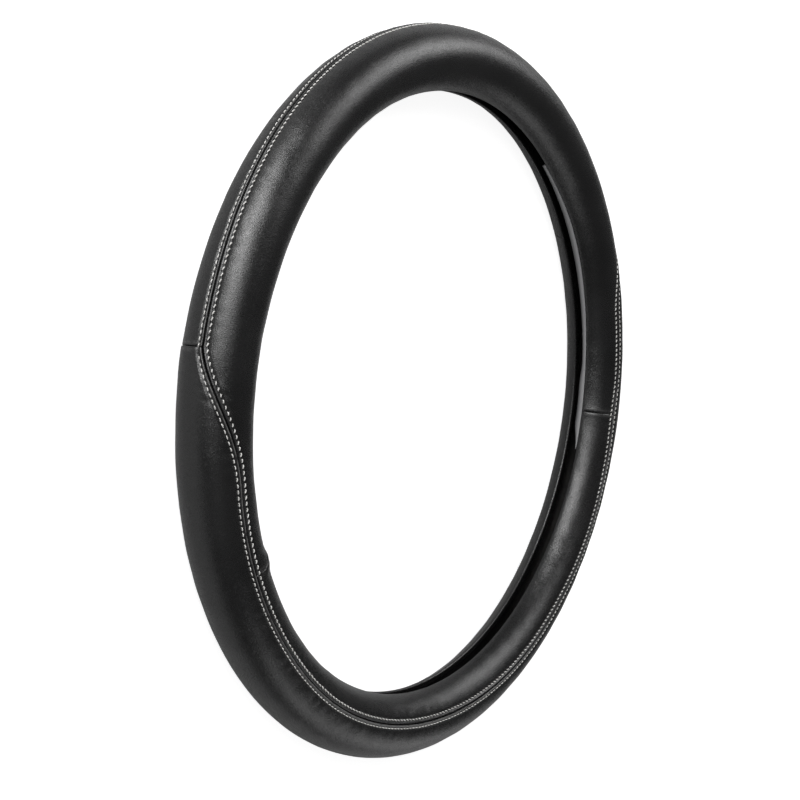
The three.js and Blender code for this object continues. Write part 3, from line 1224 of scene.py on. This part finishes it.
@dataclass
class MouldedRing:
    """The rubber ring inside the cover, with rounded grip ridges in its channel."""

    sizes: CoverSizes
    name: str = "moulded_ring"
    arcs: int = 8
    ridges: int = 7
    ridge_height: float = 0.8
    stations: int = 360
    steps: int = 57

    def build(self, material: bpy.types.Material) -> bpy.types.Object:
        """Builds the ring and dresses it.

        Args:
            material: The rubber's material.

        Returns:
            The piece.
        """
        s = self.sizes
        outer = s.leather_inside - s.glue_gap
        inner = outer - s.ring_wall
        front = s.slot_front + max(s.pull_height, s.leather) + 2 * s.glue_gap
        back = s.slot_back + s.leather + s.glue_gap
        share = np.linspace(0, 1, self.steps)

        def arc(radius: float) -> np.ndarray:
            """Gives the section angles from the front end to the back end.

            Args:
                radius: The radius that the angles are for.

            Returns:
                The angles in radians.
            """
            begin = -QUARTER_TURN + math.degrees(math.asin(front / radius))
            end = FULL_TURN - QUARTER_TURN - math.degrees(math.asin(back / radius))
            return np.radians(begin + (end - begin) * share)

        ripple = (1 - np.cos(2 * np.pi * self.ridges * share)) / 2
        inside = inner - self.ridge_height * ripple
        outside = np.full(self.steps // 2, outer)
        way_back = arc(outer)[:: -2][: self.steps // 2]
        way_back[-1] = arc(outer)[0]
        radius = np.concatenate([inside, outside])
        turn = np.concatenate([arc(inner), way_back])
        angle = np.linspace(0, FULL_TURN, self.stations, endpoint=False)[:, None]
        out = radius * np.sin(turn) + 0 * angle
        up = radius * np.cos(turn) + 0 * angle
        crest = np.concatenate([ripple * 2 - 1, np.zeros(len(outside))]) + 0 * angle
        points = s.place(angle, out, up).reshape(-1, 3)
        faces = [block[:, ::-1] for block in sweep_faces(self.stations, out.shape[1], True)]
        piece = make_mesh(self.name, points, faces, crest.ravel())
        arcs = tuple(f"ring_arc_{place + 1}" for place in range(self.arcs))
        dress(piece, arcs, material)
        return piece


@dataclass
class LiningStrip:
    """The smooth strip that shows along the front lip on the right-hand side."""

    sizes: CoverSizes
    name: str = "lining_edge"
    node: str = "lining_strip"
    start: float = -25.0
    end: float = 43.0
    edge: float = 0.2
    drop: float = 1.3
    drop_from: float = 5.0
    drop_to: float = 11.0
    gap: float = 0.2
    thickness: float = 1.2
    sink: float = 0.3
    bulge: float = 0.5
    back_inset: float = 0.05
    # How fast the painted sheen rises towards the strip's upper edge.
    pale_power: float = 0.8
    thin_end: float = 6.0
    thin_share: float = 0.85
    stations: int = 180
    steps: int = 13

    def build(self, material: bpy.types.Material) -> bpy.types.Object:
        """Builds the strip and dresses it.

        Args:
            material: The lining's material.

        Returns:
            The piece.
        """
        s = self.sizes
        angle = np.linspace(self.start, self.end, self.stations)[:, None]
        top = s.lip_height(angle) - self.gap
        low = self.edge - self.drop * smoothstep(-angle, self.drop_from, self.drop_to)
        thinned = smoothstep(-angle, -self.start - self.thin_end, -self.start)
        low = low + self.thin_share * (top - low) * thinned
        outer = s.section_radius - s.lip_rounding / 2
        round_it = np.linspace(0, np.pi, self.steps)[None, :]
        middle, half = (top + low) / 2, (top - low) / 2
        inward = outer - self.sink + self.bulge * np.sin(round_it) + 0 * angle
        level = middle + half * np.cos(round_it)
        back = outer - self.thickness
        inward = np.concatenate([inward, back + 0 * angle, back + 0 * angle], axis=1)
        inset = self.back_inset * (top - low)
        level = np.concatenate([level, low + inset, top - inset], axis=1)
        # Painted sheen values, rising towards the strip's upper edge.
        crest = np.clip((level - low) / (top - low), 0, 1) ** self.pale_power
        points = s.place(angle, -inward, level).reshape(-1, 3)
        faces = sweep_faces(self.stations, inward.shape[1], False)
        piece = make_mesh(self.name, points, faces, crest.ravel())
        dress(piece, (self.node,), material)
        return piece


@dataclass(frozen=True)
class Softbox:
    """A wide square soft light that faces the cover."""

    name: str
    place: tuple
    watts: float
    size: float = 0.6
    aim: tuple = (0.0, 0.0, 0.01)

    def build(self) -> None:
        """Builds the light."""
        data = bpy.data.lights.new(self.name, "AREA")
        data.shape = "SQUARE"
        data.size = self.size
        data.energy = self.watts
        made = bpy.data.objects.new(self.name, data)
        made.location = self.place
        way = Vector(self.aim) - Vector(self.place)
        made.rotation_euler = way.to_track_quat("-Z", "Y").to_euler()
        bpy.context.scene.collection.objects.link(made)


@dataclass
class Studio:
    """The pale floor, the soft lights and the camera."""

    eye: tuple = (-0.66743, 0.20424, 0.47701)
    target: tuple = (-0.03327, 0.00528, 0.01697)
    roll_radians: float = -0.0501
    lens: float = 70.79
    floor_size: float = 8.0
    floor_drop: float = 0.0004
    floor_glow: float = 0.06
    floor_seen: float = 0.88
    floor_colour: tuple = (0.6, 0.6, 0.6, 1)
    floor_rough: float = 0.9
    floor_shine: float = 0.1
    sensor: float = 36.0
    nearest: float = 0.01
    farthest: float = 50.0
    white: tuple = (1, 1, 1, 1)
    world: float = 0.1
    world_seen: float = 0.95
    lights: tuple = (
        Softbox("key", (-0.719, 1.245, 0.701), 12.5),
        Softbox("left_key", (-1.245, 0.719, 0.701), 5.0),
        Softbox("high_left", (-0.786, 0.786, 1.151), 2.8),
        Softbox("high_right", (0.786, 0.786, 1.151), 3.4),
        Softbox("right", (1.245, 0.719, 0.701), 4.4),
        Softbox("low", (-0.542, 1.489, 0.223), 1.0),
        Softbox("near_fill", (0.0, -1.438, 0.701), 1.5),
        Softbox("left_band", (-1.23, -0.40, 0.94), 0.3),
        Softbox("low_front", (0.77, -1.34, 0.41), 1.2),
    )

    def build(self) -> None:
        """Builds the floor, the lights, the world and the camera."""
        self.build_floor()
        for light in self.lights:
            light.build()
        world = bpy.data.worlds.new("studio")
        world.use_nodes = True
        background = world.node_tree.nodes["Background"]
        background.inputs["Color"].default_value = self.white
        desk = NodeDesk(world.node_tree)
        desk.wire(background, "Strength", desk.for_camera(self.world, self.world_seen))
        bpy.context.scene.world = world
        bpy.context.scene.view_settings.view_transform = "Standard"
        self.build_camera()

    def build_floor(self) -> None:
        """Builds the floor."""
        half = self.floor_size / 2
        mesh = bpy.data.meshes.new("floor")
        drop = -self.floor_drop
        corners = [(-half, -half, drop), (half, -half, drop), (half, half, drop), (-half, half, drop)]
        mesh.from_pydata(corners, [], [(0, 1, 2, 3)])
        material = bpy.data.materials.new("Pale floor")
        material.use_nodes = True
        shader = material.node_tree.nodes["Principled BSDF"]
        shader.inputs["Base Color"].default_value = self.floor_colour
        shader.inputs["Roughness"].default_value = self.floor_rough
        shader.inputs["Specular IOR Level"].default_value = self.floor_shine
        shader.inputs["Emission Color"].default_value = self.white
        desk = NodeDesk(material.node_tree)
        desk.wire(shader, "Emission Strength", desk.for_camera(self.floor_glow, self.floor_seen))
        mesh.materials.append(material)
        floor = bpy.data.objects.new("floor", mesh)
        bpy.context.scene.collection.objects.link(floor)

    def build_camera(self) -> None:
        """Builds the camera at the photograph's viewing angle."""
        data = bpy.data.cameras.new("camera")
        data.lens = self.lens
        data.sensor_width = self.sensor
        data.clip_start, data.clip_end = self.nearest, self.farthest
        camera = bpy.data.objects.new("camera", data)
        back = (Vector(self.eye) - Vector(self.target)).normalized()
        right = Vector((0, 1, 0)).cross(back).normalized()
        top = back.cross(right)
        cosine, sine = math.cos(self.roll_radians), math.sin(self.roll_radians)
        turned_right = right * cosine + top * sine
        turned_top = top * cosine - right * sine
        camera.matrix_world = Matrix.Translation(self.eye) @ Matrix(
            (turned_right, turned_top, back)
        ).transposed().to_4x4()
        bpy.context.scene.collection.objects.link(camera)
        bpy.context.scene.camera = camera


def main() -> None:
    """Builds the cover piece by piece, then the studio."""
    logging.basicConfig(level=logging.INFO, format="%(name)s: %(message)s")
    sizes = CoverSizes()
    route = SeamRoute(sizes)
    inner_course = StitchCourse(route, Side.FRONT)
    outer_course = StitchCourse(route, Side.BACK)
    shelf = EffectShelf()
    leather = LeatherFinish().build(shelf)
    thread = ThreadFinish().build(shelf)
    # The outer panels get a stronger painted highlight on their seam ridge.
    outer_edges = {
        "crest_at": 0.7, "crest_reach": 0.5, "crest_rise": 0.2, "crest_shine": 1.6,
        "cross_reach": 1.0, "cross_lift": 0.05, "closing_stitch": 3.0,
    }
    front_swell = 0.8
    panels = [
        LeatherPanel("upper_front_leather", "front_panel", Side.FRONT,
                     route.right_cross - FULL_TURN, route.left_cross,
                     route, inner_course, seed=3, swell=front_swell),
        LeatherPanel("lower_inner_leather", "inner_panel", Side.FRONT,
                     route.left_cross, route.right_cross,
                     route, inner_course, seed=5, swell=front_swell),
        LeatherPanel("lower_outer_leather", "outer_panel", Side.BACK,
                     route.left_corner, route.right_corner + FULL_TURN,
                     route, outer_course, seed=7, proud=0.4, **outer_edges),
        LeatherPanel("upper_back_leather", "back_panel", Side.BACK,
                     route.right_corner, route.left_corner,
                     route, outer_course, seed=9, **outer_edges),
    ]
    for panel in panels:
        panel.build(leather)
    StitchRow("outer_stitches", "outer_stitch_row", outer_course, slant=2.0, thickness=0.54,
              begins=0.17, ends=0.83, seed=21).build(thread)
    StitchRow("inner_stitches", "inner_stitch_row", inner_course, slant=14.0, seed=22).build(thread)
    MouldedRing(sizes).build(RubberFinish().build(shelf))
    LiningStrip(sizes).build(LiningFinish().build(shelf))
    Studio().build()


if __name__ == "__main__":
    main()
